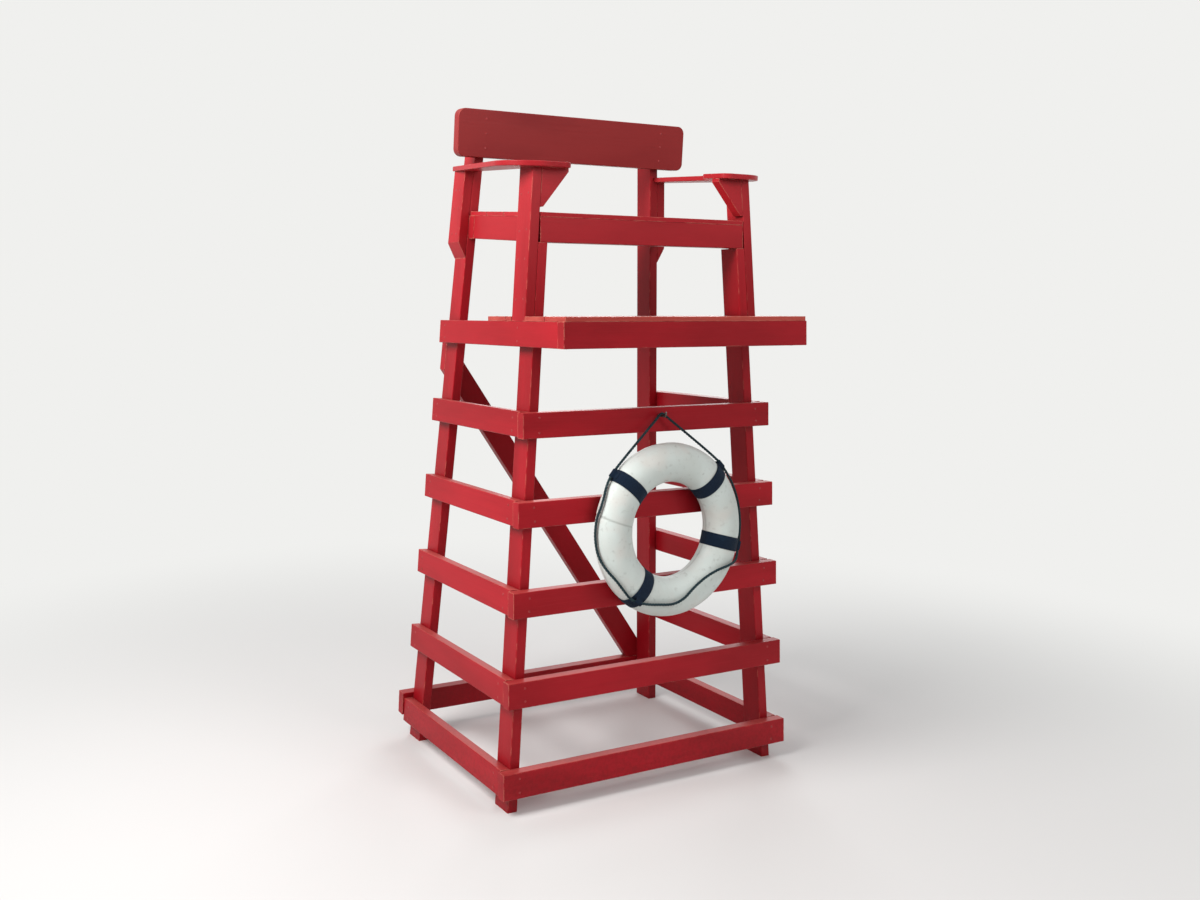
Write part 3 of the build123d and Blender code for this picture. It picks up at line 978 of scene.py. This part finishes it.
@dataclass
class LadderFrame(Assembly):
    """The four legs, the rails that make the ladders and the brace across the back."""

    screws: str = "ladder_screws"
    seed: int = 11
    rail_count: int = 5
    brace_top: float = 1.52
    brace_foot: float = 0.198
    brace_spread: float = 11 * MM

    def paint(self, store: PaintStore) -> None:
        """Paint every board along its grain.

        Args:
            store: Where the paint comes from.
        """
        numbers = range(1, self.rail_count + 1)
        legs = [f"{side}_{end}_leg" for side in SIDES for end in ("front", "back")]
        rails = [f"{side}_side_rail_{number}" for side in SIDES for number in numbers]
        store.brush(RED, Grain.UPRIGHT, legs)
        store.brush(RED, Grain.ACROSS, [f"front_rail_{number}" for number in numbers])
        store.brush(RED, Grain.FORE_AND_AFT, rails)
        store.brush(RED, Grain.ACROSS, ["back_rail"])
        store.brush(RED, Grain.BRACE, ["back_brace"])

    def fasten(self, fixings: Fixings) -> None:
        """Drive two screws wherever a rail or the brace crosses a leg.

        Args:
            fixings: The sub-assembly's screws.
        """
        for number in range(1, self.rail_count + 1):
            self.cross_board(fixings, f"front_rail_{number}", Way.BACKWARDS)
            self.side_boards(fixings, f"side_rail_{number}", level(f"front_rail_{number}"))
        self.cross_board(fixings, "back_rail", Way.FORWARDS)
        for height, side in ((self.brace_top, -1), (self.brace_foot, 1)):
            out = side * self.lines.leg_middle(height)
            fixings.row("back_brace", (out,), pair(height, self.brace_spread), Way.FORWARDS)


@dataclass
class FootDeck(Assembly):
    """The foot deck: side boards, front board, joists and planks."""

    screws: str = "deck_screws"
    seed: int = 12
    plank_count: int = 4
    plank_inset: float = 22.8 * MM
    plank_spread: float = 38 * MM

    def paint(self, store: PaintStore) -> None:
        """Paint every board along its grain.

        Args:
            store: Where the paint comes from.
        """
        sides = [f"{side}_deck_side_board" for side in SIDES]
        store.brush(RED, Grain.FORE_AND_AFT, [*sides, "deck_middle_joist"])
        store.brush(RED, Grain.ACROSS, ["deck_front_board", "deck_back_joist"])
        store.brush(TRODDEN_AND_SHEEN, Grain.ACROSS, ["deck_planks"])

    def fasten(self, fixings: Fixings) -> None:
        """Screw the side boards to the legs and the planks to the frame.

        Args:
            fixings: The sub-assembly's screws.
        """
        self.side_boards(fixings, "deck_side_board", level("right_deck_side_board"))
        boards = (-1, 0, 1)
        fixings.planks("deck_planks", self.plank_count, boards, self.plank_inset, self.plank_spread)


@dataclass
class Seat(Assembly):
    """The seat's frame and planks, and the backrest board above it."""

    screws: str = "seat_screws"
    seed: int = 13
    plank_count: int = 4
    plank_inset: float = 19 * MM
    plank_spread: float = 38 * MM
    backrest_spread: float = 56 * MM

    def paint(self, store: PaintStore) -> None:
        """Paint every board along its grain.

        Args:
            store: Where the paint comes from.
        """
        store.brush(RED, Grain.ACROSS, ["seat_front_board", "seat_back_board", "seat_planks"])
        store.brush(RED, Grain.FORE_AND_AFT, [f"{side}_seat_side_board" for side in SIDES])
        store.brush(MAROON, Grain.ACROSS, ["backrest_board"])

    def fasten(self, fixings: Fixings) -> None:
        """Screw down the planks and fasten the backrest and the back board to the back legs.

        Args:
            fixings: The sub-assembly's screws.
        """
        boards = (-1, 1)
        fixings.planks("seat_planks", self.plank_count, boards, self.plank_inset, self.plank_spread)
        three = (-self.backrest_spread, 0.0, self.backrest_spread)
        self.cross_board(fixings, "backrest_board", Way.BACKWARDS, three)
        self.cross_board(fixings, "seat_back_board", Way.BACKWARDS)


@dataclass
class Armrests(Assembly):
    """Both armrests with the posts, stays and gussets that carry them."""

    screws: str = "armrest_screws"
    seed: int = 14
    post_rows: tuple[float, ...] = (1.76, 1.90, 2.00, 2.13)
    stay_rows: tuple[float, ...] = (2.02, 2.12, 2.19)
    stay_spread: float = 16.8 * MM

    def paint(self, store: PaintStore) -> None:
        """Paint every board along its grain.

        Args:
            store: Where the paint comes from.
        """
        uprights = [f"{side}_arm_{part}" for side in SIDES for part in ("post", "stay")]
        store.brush(RED, Grain.UPRIGHT, uprights)
        store.brush(RED, Grain.FORE_AND_AFT, [f"{side}_armrest" for side in SIDES])
        store.brush(RED, Grain.ACROSS, [f"{side}_arm_gusset" for side in SIDES])

    def fasten(self, fixings: Fixings) -> None:
        """Screw the posts and stays to the legs and the armrests down on them.

        Args:
            fixings: The sub-assembly's screws.
        """
        posts = pair(self.lines.front_middle, self.screw_spread)
        for side, sign in SIDES.items():
            fixings.row(f"{side}_arm_post", posts, self.post_rows, INWARD[side])
            for height in self.stay_rows:
                stay = pair(self.lines.back_middle(height), self.stay_spread)
                fixings.row(f"{side}_arm_stay", stay, (height,), INWARD[side])
            _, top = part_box(f"{side}_arm_post")
            out = sign * (self.lines.half_width(top.z) + self.lines.board_thickness / 2)
            ends = (*posts, *pair(self.lines.back_middle(top.z), self.screw_spread))
            fixings.row(f"{side}_armrest", (out,), ends, Way.DOWN)


def bell(away: float, width: float) -> float:
    """Return a bell curve: 1 in the middle, and near 0 two widths away."""
    return math.exp(-((away / width) ** 2))


@dataclass(frozen=True)
class RingForm:
    """The life ring's form."""

    middle: Vector
    outer: float
    tube_axial: float
    hole: float = 338 * MM

    @classmethod
    def read(cls) -> "RingForm":
        """Read the form off the plain ring."""
        low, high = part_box("life_ring")
        return cls((low + high) / 2, high.x - low.x, (high.y - low.y) / 2)

    @property
    def radius(self) -> float:
        """Return the radius of the middle line of the ring's tube."""
        return (self.outer + self.hole) / 4

    @property
    def tube_radial(self) -> float:
        """Return half the tube's size outwards."""
        return (self.outer - self.hole) / 4

    def reach(self, roll: float) -> float:
        """Return how far from the ring's axis the skin lies at an angle round the tube."""
        return self.radius + self.tube_radial * math.cos(roll)

    def apart(self, turn: float, other: float) -> float:
        """Return the length, along the middle line, from one angle round the ring to another."""
        return abs(math.remainder(turn - other, math.tau)) * self.radius

    def spot(self, turn: float, roll: float, lift: float) -> Vector:
        """Find a place on or off the tube's skin.

        Args:
            turn: The angle round the ring, in radians, anticlockwise from the right in front view.
            roll: The angle round the tube, 0 on the outer rim and a quarter turn on the front.
            lift: The height over the skin.

        Returns:
            The place.
        """
        out = self.radius + (self.tube_radial + lift) * math.cos(roll)
        forward = (self.tube_axial + lift) * math.sin(roll)
        return self.middle + Vector((out * math.cos(turn), -forward, out * math.sin(turn)))


def loft(
    draft: bmesh.types.BMesh,
    rings: Sequence[Sequence[Vector]],
    spot: Callable[[int, int], tuple[float, float]] | None = None,
    closed: bool = True,
) -> None:
    """Skin a row of closed rings.

    Args:
        draft: The mesh that takes the skin.
        rings: The rings, all with as many points.
        spot: Gives a corner's weave coordinates from its ring and point numbers.
        closed: Whether the last ring joins the first; otherwise both ends are capped.
    """
    weave = draft.loops.layers.uv.get("weave") or draft.loops.layers.uv.new("weave")
    made = [[draft.verts.new(point) for point in ring] for ring in rings]
    size = len(rings[0])
    for place in range(len(rings) if closed else len(rings) - 1):
        this, after = made[place], made[(place + 1) % len(rings)]
        for step in range(size):
            beside = (step + 1) % size
            face = draft.faces.new((this[step], this[beside], after[beside], after[step]))
            if spot:
                corners = ((0, 0), (0, 1), (1, 1), (1, 0))
                for (further, next_to), loop in zip(corners, face.loops):
                    loop[weave].uv = spot(place + further, step + next_to)
    if not closed:
        draft.faces.new(made[0])
        draft.faces.new(made[-1])


@dataclass
class LifeRing:
    """The ring itself: a parting ridge, a butt seam, dents, and a hollow under each strap."""

    form: RingForm
    strap_turns: tuple[float, ...]
    strap_width: float
    turns: int = 432
    rolls: int = 72
    press: float = 1.6 * MM
    press_half: float = 0.52
    press_edge: float = 1.6 * MM
    ridge: float = 0.7 * MM
    ridge_width: float = 0.035
    ridge_dirt: float = 0.7
    ridge_dirt_width: float = 0.0525
    seam_turn: float = math.radians(169)
    seam_slant: float = 0.04
    seam_phase: float = 1.3
    seam_width: float = 2.6 * MM
    seam_depth: float = 1.6 * MM
    dents: int = 26
    dent_seed: int = 7
    dent_reach: tuple[float, float] = (6 * MM, 22 * MM)
    dent_depth: tuple[float, float] = (0.39 * MM, 1.3 * MM)

    def hollows(self) -> list[tuple[float, float, float, float]]:
        """Scatter the dents.

        Returns:
            Each dent's angle round the ring, angle round the tube, reach and depth.
        """
        chance = random.Random(self.dent_seed)
        ranges = ((0, math.tau), (0, math.tau), self.dent_reach, self.dent_depth)
        return [tuple(chance.uniform(*span) for span in ranges) for _ in range(self.dents)]

    def lift(self, turn: float, roll: float, hollows: Sequence[Sequence[float]]) -> float:
        """Find how far the skin stands off its plain form at one place.

        Args:
            turn: The angle round the ring.
            roll: The angle round the tube.
            hollows: Each dent's turn, roll, reach and depth.

        Returns:
            The height, below zero in a hollow.
        """
        height = self.ridge * bell(math.sin(roll), self.ridge_width)
        for strap in self.strap_turns:
            past = self.form.apart(turn, strap) - self.press_half * self.strap_width
            height -= self.press / (1 + math.exp(past / self.press_edge))
        height -= self.seam_depth * self.seam_share(turn, roll)
        for at_turn, at_roll, reach, depth in hollows:
            along = self.form.apart(turn, at_turn)
            across = abs(math.remainder(roll - at_roll, math.tau)) * self.form.tube_radial
            height -= depth * bell(math.hypot(along, across), reach)
        return height

    def seam_share(self, turn: float, roll: float) -> float:
        """Return how near a place is to the butt seam, from 0 to 1."""
        seam = self.seam_turn + self.seam_slant * math.sin(roll - self.seam_phase)
        return bell(self.form.apart(turn, seam), self.seam_width)

    def build(self) -> bpy.types.Object:
        """Mould the ring and put it in the place of its plain solid.

        Returns:
            The ring.
        """
        hollows = self.hollows()
        rings = []
        dirt = []
        for place in range(self.turns):
            turn = math.tau * place / self.turns
            rings.append([])
            for step in range(self.rolls):
                roll = math.tau * step / self.rolls
                rings[-1].append(self.form.spot(turn, roll, self.lift(turn, roll, hollows)))
                parting = self.ridge_dirt * bell(math.sin(roll), self.ridge_dirt_width)
                dirt.append(max(parting, self.seam_share(turn, roll)))
        draft = bmesh.new()
        loft(draft, rings)
        piece = piece_from(draft, "ring_skin", RingSkin().material())
        piece.data.attributes.new("seam", "FLOAT", "POINT").data.foreach_set("value", dirt)
        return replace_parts(piece, "life_ring")


@dataclass
class RingStraps:
    """The woven bands wrapped round the ring, and the loops on them that hold the grab line."""

    form: RingForm
    turns: tuple[float, ...]
    width: float
    thickness: float = 2.6 * MM
    off: float = -0.6 * MM
    edge_share: float = 0.45
    steps: int = 132
    keeper_width: float = 30 * MM
    keeper_thickness: float = 1.8 * MM
    keeper_reach: float = 0.36
    keeper_slack: float = 0.6 * MM
    keeper_steps: int = 40
    keeper_section: tuple[tuple[float, float], ...] = (
        (-1.0, 0.0), (-1.0, 0.8), (-0.92, 1.0), (0.92, 1.0), (1.0, 0.8), (1.0, 0.0)
    )
    arch_half: float = 0.34

    def outline(self) -> list[tuple[float, float]]:
        """Draw the tape's section, with rounded edges.

        Returns:
            Corners, each with its place across the tape and its share of the thickness.
        """
        half = self.width / 2
        edge = self.thickness * self.edge_share
        top = ((-half + 0.3 * edge, 0.85), (-half + edge, 1.0), (-half / 3, 1.0))
        outline = [(-half, 0.5), *top]
        outline += [(-across, share) for across, share in reversed(top)]
        outline += [(half, 0.5)]
        outline += [(-across, 1 - share) for across, share in top]
        outline += [(across, 1 - share) for across, share in reversed(top)]
        return outline

    def band(self, draft: bmesh.types.BMesh, turn: float) -> None:
        """Wrap one band round the tube.

        Args:
            draft: The mesh that takes it.
            turn: Where it lies round the ring.
        """
        outline = self.outline()
        rings = []
        for step in range(self.steps):
            roll = math.tau * step / self.steps
            reach = self.form.reach(roll)
            rings.append([
                self.form.spot(turn + across / reach, roll, self.off + share * self.thickness)
                for across, share in outline
            ])
        round_length = math.pi * (self.form.tube_radial + self.form.tube_axial)
        repeats = round(round_length / self.width)

        def spot(place: int, step: int) -> tuple[float, float]:
            """Return the weave coordinates of one corner."""
            return outline[step % len(outline)][0] / self.width + 0.5, place / self.steps * repeats

        loft(draft, rings, spot)

    def keeper(self, draft: bmesh.types.BMesh, turn: float, line: "GrabLine") -> None:
        """Sew one loop over the line.

        Args:
            draft: The mesh that takes it.
            turn: Where its band lies round the ring.
            line: The line that it holds.
        """
        roll, lift = line.crossing(turn)
        half = self.keeper_width / 2
        flat = self.off + self.thickness
        rise = lift + line.radius + self.keeper_slack - flat
        rings = []
        for step in range(self.keeper_steps + 1):
            part = 2 * step / self.keeper_steps - 1
            at = roll + part * self.keeper_reach
            base = flat + rise * math.exp(-((part / self.arch_half) ** 4))
            angle = half / self.form.reach(at)
            rings.append([
                self.form.spot(turn + across * angle, at, base + share * self.keeper_thickness)
                for across, share in self.keeper_section
            ])
        wide = self.keeper_width / self.width
        long = 2 * self.keeper_reach * self.form.tube_radial / self.width

        def spot(place: int, step: int) -> tuple[float, float]:
            """Return the weave coordinates of one corner."""
            across = self.keeper_section[step % len(self.keeper_section)][0]
            return (across + 1) / 2 * wide, place / self.keeper_steps * long

        loft(draft, rings, spot, closed=False)

    def build(self, line: "GrabLine") -> bpy.types.Object:
        """Wrap the bands and sew on the loops.

        Args:
            line: The line that the loops hold.

        Returns:
            The piece that stands for the plain bands.
        """
        draft = bmesh.new()
        for turn in self.turns:
            self.band(draft, turn)
            self.keeper(draft, turn, line)
        piece = piece_from(draft, "strap_webbing", Webbing().material())
        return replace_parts(piece, "ring_straps")


@dataclass
class GrabLine:
    """The three-strand grab line, on one smooth closed curve round the ring and over the hook."""

    form: RingForm
    route: tuple[tuple[float, float], ...]
    radius: float = 5 * MM
    lift: float = 11.6 * MM
    hook_x: float = 21 * MM
    hook_z: float = 1340 * MM
    hook_radius: float = 4 * MM
    hook_gap: float = 0.3 * MM
    behind: float = 35.6 * MM
    straight: float = 60 * MM
    smoothness: int = 16
    spacing: float = 2.6 * MM
    pitch: float = 34 * MM
    strands: int = 3
    strand_sides: int = 9
    flatness: float = 1.08
    length: float = field(init=False)
    path: list[Vector] = field(init=False)

    def __post_init__(self) -> None:
        """Run the curve once, so that the straps can be sewn over it."""
        self.length, self.path = self.even(self.run())

    def controls(self) -> list[Vector]:
        """Set out the route: round the ring, up the left leg, over the hook and down the right.

        Returns:
            The points that pull the curve along.
        """
        points = [
            self.form.spot(math.radians(turn), math.radians(roll), self.lift)
            for turn, roll in self.route
        ]
        hook = Vector((self.hook_x, self.form.middle.y + self.behind, self.hook_z))
        bend = self.hook_radius + self.radius + self.hook_gap
        over = []
        # The curve touches each run between its points halfway, so the runs over the hook are laid
        # with their middles where the line leaves the hook's bend.
        for end, sign in ((points[-1], 1), (points[0], -1)):
            leg = Vector((end.x - hook.x, 0, end.z - hook.z))
            slope = math.atan2(leg.z, leg.x) - sign * math.acos(bend / leg.length)
            touch = hook + bend * Vector((math.cos(slope), 0, math.sin(slope)))
            down = (Vector((end.x, touch.y, end.z)) - touch).normalized()
            rise = (bend - (touch.z - hook.z)) / -down.z
            knee = touch - down * rise
            over.append([knee + down * self.straight, knee + down * 2 * rise, knee])
            over[-1][0].y += (end.y - touch.y) * self.straight / leg.length
        return points + over[0] + over[1][::-1]

    def run(self) -> list[Vector]:
        """Run the smooth closed curve along the route.

        Returns:
            Close points on the curve.
        """
        curve = bpy.data.curves.new("grab_line_route", "CURVE")
        curve.dimensions = "3D"
        curve.resolution_u = self.smoothness
        spline = curve.splines.new("NURBS")
        controls = self.controls()
        spline.points.add(len(controls) - 1)
        for point, control in zip(spline.points, controls):
            point.co = (*control, 1.0)
        spline.order_u = 3
        spline.use_cyclic_u = True
        holder = put("grab_line_route", curve)
        bpy.context.view_layer.update()
        mesh = bpy.data.meshes.new_from_object(holder)
        points = [vertex.co.copy() for vertex in mesh.vertices]
        bpy.data.meshes.remove(mesh)
        bpy.data.objects.remove(holder)
        bpy.data.curves.remove(curve)
        return points

    def even(self, points: list[Vector]) -> tuple[float, list[Vector]]:
        """Space a closed row of points evenly.

        Args:
            points: The points as they come.

        Returns:
            The row's length, and points about one spacing apart.
        """
        ring = points + [points[0]]
        lengths = [0.0]
        for before, after in zip(ring, ring[1:]):
            lengths.append(lengths[-1] + (after - before).length)
        length = lengths[-1]
        count = round(length / self.spacing)
        spaced = []
        place = 0
        for step in range(count):
            goal = length * step / count
            while lengths[place + 1] < goal:
                place += 1
            part = (goal - lengths[place]) / (lengths[place + 1] - lengths[place])
            spaced.append(ring[place].lerp(ring[place + 1], part))
        return length, spaced

    def crossing(self, turn: float) -> tuple[float, float]:
        """Find where the line crosses a band.

        Args:
            turn: The band's angle round the ring.

        Returns:
            The angle round the tube, and the height of the line's middle over the skin.
        """
        offset = min(self.path, key=lambda point: self.apart(point, turn)) - self.form.middle
        out = math.hypot(offset.x, offset.z) - self.form.radius
        roll = math.atan2(-offset.y / self.form.tube_axial, out / self.form.tube_radial)
        skin = self.form.spot(turn, roll, 0.0) - self.form.middle
        reach = math.hypot(math.hypot(skin.x, skin.z) - self.form.radius, skin.y)
        return roll, math.hypot(out, offset.y) - reach

    def apart(self, point: Vector, turn: float) -> float:
        """Measure how far round the ring a point is from a band.

        Args:
            point: The point.
            turn: The band's angle round the ring.

        Returns:
            The length along the ring, without end for a point that is off the ring.
        """
        offset = point - self.form.middle
        if offset.length >= self.form.outer:
            return math.inf
        return self.form.apart(math.atan2(offset.z, offset.x), turn)

    def frames(self) -> tuple[list[tuple[Vector, Vector, Vector]], float]:
        """Carry a pair of axes along the curve without twisting them.

        Returns:
            The line's way and two axes square to it at each point, and the angle by which
            the axes miss their start after the whole round.
        """
        count = len(self.path)
        ways = [
            (self.path[(place + 1) % count] - self.path[place - 1]).normalized()
            for place in range(count)
        ]
        sides = [ways[0].orthogonal().normalized()]
        for way in ways[1:] + ways[:1]:
            sides.append((sides[-1] - way * sides[-1].dot(way)).normalized())
        last = sides.pop()
        slip = math.atan2(last.cross(sides[0]).dot(ways[0]), last.dot(sides[0]))
        return [(way, side, way.cross(side)) for way, side in zip(ways, sides)], slip

    def build(self) -> bpy.types.Object:
        """Lay the strands round the curve and put them in the place of the plain line.

        Returns:
            The line.
        """
        frames, slip = self.frames()
        count = len(frames)
        # Three round strands that touch each other fit in the line's own circle at this radius.
        strand = self.radius / (1 + 2 / math.sqrt(3))
        turns = round(self.length / self.pitch)

        def spot(place: int, step: int) -> tuple[float, float]:
            """Return the weave coordinates of one corner."""
            return step / self.strand_sides, place * turns / count

        draft = bmesh.new()
        for number in range(self.strands):
            rings = []
            for place, (way, side, other) in enumerate(frames):
                part = place / count
                angle = math.tau * (number / self.strands + turns * part) + slip * part
                spoke = side * math.cos(angle) + other * math.sin(angle)
                rim = way.cross(spoke) * self.flatness
                centre = self.path[place] + spoke * (self.radius - strand)
                rings.append([])
                for step in range(self.strand_sides):
                    corner = math.tau * step / self.strand_sides
                    rings[-1].append(
                        centre + strand * (spoke * math.cos(corner) + rim * math.sin(corner))
                    )
            loft(draft, rings, spot)
        piece = piece_from(draft, "grab_line_strands", LineFibre().material())
        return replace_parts(piece, "grab_line")


@dataclass(frozen=True)
class Lamp:
    """One square soft lamp, turned to the tower's middle."""

    name: str
    place: Triple
    size: float
    power: float
    colour: Triple
    target: Triple = (0.0, 0.0, 1.2)

    def hang(self) -> None:
        """Hang the lamp."""
        data = bpy.data.lights.new(self.name, "AREA")
        data.size = self.size
        data.energy = self.power
        data.color = self.colour
        lamp = put(self.name, data)
        lamp.location = self.place
        way = Vector(self.target) - Vector(self.place)
        lamp.rotation_euler = way.to_track_quat("-Z", "Y").to_euler()
        log.info("%s hung", self.name)


@dataclass
class Studio:
    """The plain floor, the soft lamps and the camera where the photographer stood."""

    eye: Triple = (-2.4807, -3.5152, 1.7167)
    heading: float = math.radians(-25.02)
    focal_pixels: float = 1092.4
    picture: tuple[int, int] = (1200, 900)
    axis_pixel: tuple[float, float] = (404.9, 311.4)
    floor_half: float = 30.0
    floor_tone: Colour = tint(214, 214, 213)
    floor_fade: Step = Step(1.0, 4.2)
    pale: Colour = tint(240, 240, 238)
    air_strength: float = 0.50
    lamps: tuple[Lamp, ...] = (
        Lamp("left_lamp", (-3.9, -0.8, 4.2), 2.2, 285.0, (1.0, 0.97, 0.96)),
        Lamp("front_lamp", (1.4, -4.6, 4.0), 2.4, 78.0, (1.0, 0.98, 0.97)),
        Lamp("back_lamp", (3.2, 3.8, 3.6), 2.6, 110.0, (0.97, 0.98, 1.0)),
    )

    def camera(self) -> None:
        """Set up the camera."""
        width, height = self.picture
        across, down = self.axis_pixel
        data = bpy.data.cameras.new("camera")
        data.lens = data.sensor_width * self.focal_pixels / width
        data.shift_x = (width / 2 - across) / width
        data.shift_y = -(height / 2 - down) / width
        camera = put("camera", data)
        camera.location = self.eye
        camera.rotation_euler = (math.pi / 2, 0, self.heading)
        bpy.context.scene.camera = camera

    def air(self) -> None:
        """Light the tower softly from all round, with a pale backdrop for the camera."""
        world = bpy.data.worlds.new("air")
        bpy.context.scene.world = world
        bench = Bench(world)
        light = bench.node("ShaderNodeBackground", {"Strength": self.air_strength}).outputs[0]
        backdrop = bench.node("ShaderNodeBackground", {"Color": self.pale}).outputs[0]
        inputs: Inputs = {0: bench.backdrop_rays(), 1: light, 2: backdrop}
        both = bench.node("ShaderNodeMixShader", inputs).outputs[0]
        bench.node("ShaderNodeOutputWorld", {"Surface": both})

    def floor(self) -> None:
        """Lay the pale floor, which runs out into the backdrop."""
        half = self.floor_half
        draft = bmesh.new()
        corners = ((-half, -half, 0), (half, -half, 0), (half, half, 0), (-half, half, 0))
        draft.faces.new([draft.verts.new(corner) for corner in corners])
        mesh = bpy.data.meshes.new("floor")
        draft.to_mesh(mesh)
        draft.free()
        bench = Bench(bpy.data.materials.new("pale_floor"))
        away = bench.node("ShaderNodeVectorMath", {0: bench.fact("Position")}, operation="LENGTH")
        far = bench.ease(away.outputs["Value"], self.floor_fade)
        matt = bench.node("ShaderNodeBsdfDiffuse", {"Color": self.floor_tone}).outputs[0]
        glow = bench.node("ShaderNodeEmission", {"Color": self.pale}).outputs[0]
        inputs: Inputs = {0: bench.times(far, bench.backdrop_rays()), 1: matt, 2: glow}
        both = bench.node("ShaderNodeMixShader", inputs).outputs[0]
        bench.node("ShaderNodeOutputMaterial", {"Surface": both})
        mesh.materials.append(bench.owner)
        floor = put("floor", mesh)

    def build(self) -> None:
        """Set up everything round the tower."""
        bpy.context.scene.view_settings.view_transform = "Standard"
        self.camera()
        self.air()
        self.floor()
        for lamp in self.lamps:
            lamp.hang()
        log.info("studio ready")


# The line's control points on the ring: degrees round the ring, then degrees round its tube.
LINE_ROUTE = (
    (52, 8), (42, 10), (28, 12), (14, 12), (0, 12), (-12, 12), (-20, 20), (-26, 44),
    (-32, 74), (-40, 98), (-51, 111), (-64, 114), (-76, 107), (-86, 92), (-97, 80),
    (-109, 75), (-120, 61), (-131, 43), (-142, 46), (-151, 42), (-159, 27), (-168, 10),
    (-180, 4), (-191, 6), (-198, 13), (-205, 13), (-212, 4), (-219, -3), (-229, -6),
)
STRAP_TURNS = tuple(math.radians(turn) for turn in (138, 44, -15, -127))
STRAP_WIDTH = 48 * MM


def main() -> None:
    """Build and dress the whole tower in order."""
    logging.basicConfig(level=logging.INFO, format="%(name)s: %(message)s")
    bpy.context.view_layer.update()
    Studio().build()
    lines = TowerLines.read()
    store = PaintStore()
    heads = HeadPaint().material()
    for assembly in (LadderFrame(lines), FootDeck(lines), Seat(lines), Armrests(lines)):
        assembly.build(store, heads)
    form = RingForm.read()
    LifeRing(form, STRAP_TURNS, STRAP_WIDTH).build()
    line = GrabLine(form, LINE_ROUTE)
    line.build()
    log.info("grab line is %.3f m long", line.length)
    RingStraps(form, STRAP_TURNS, STRAP_WIDTH).build(line)
    dress("ring_hook", Galvanised().material())


if __name__ == "__main__":
    main()
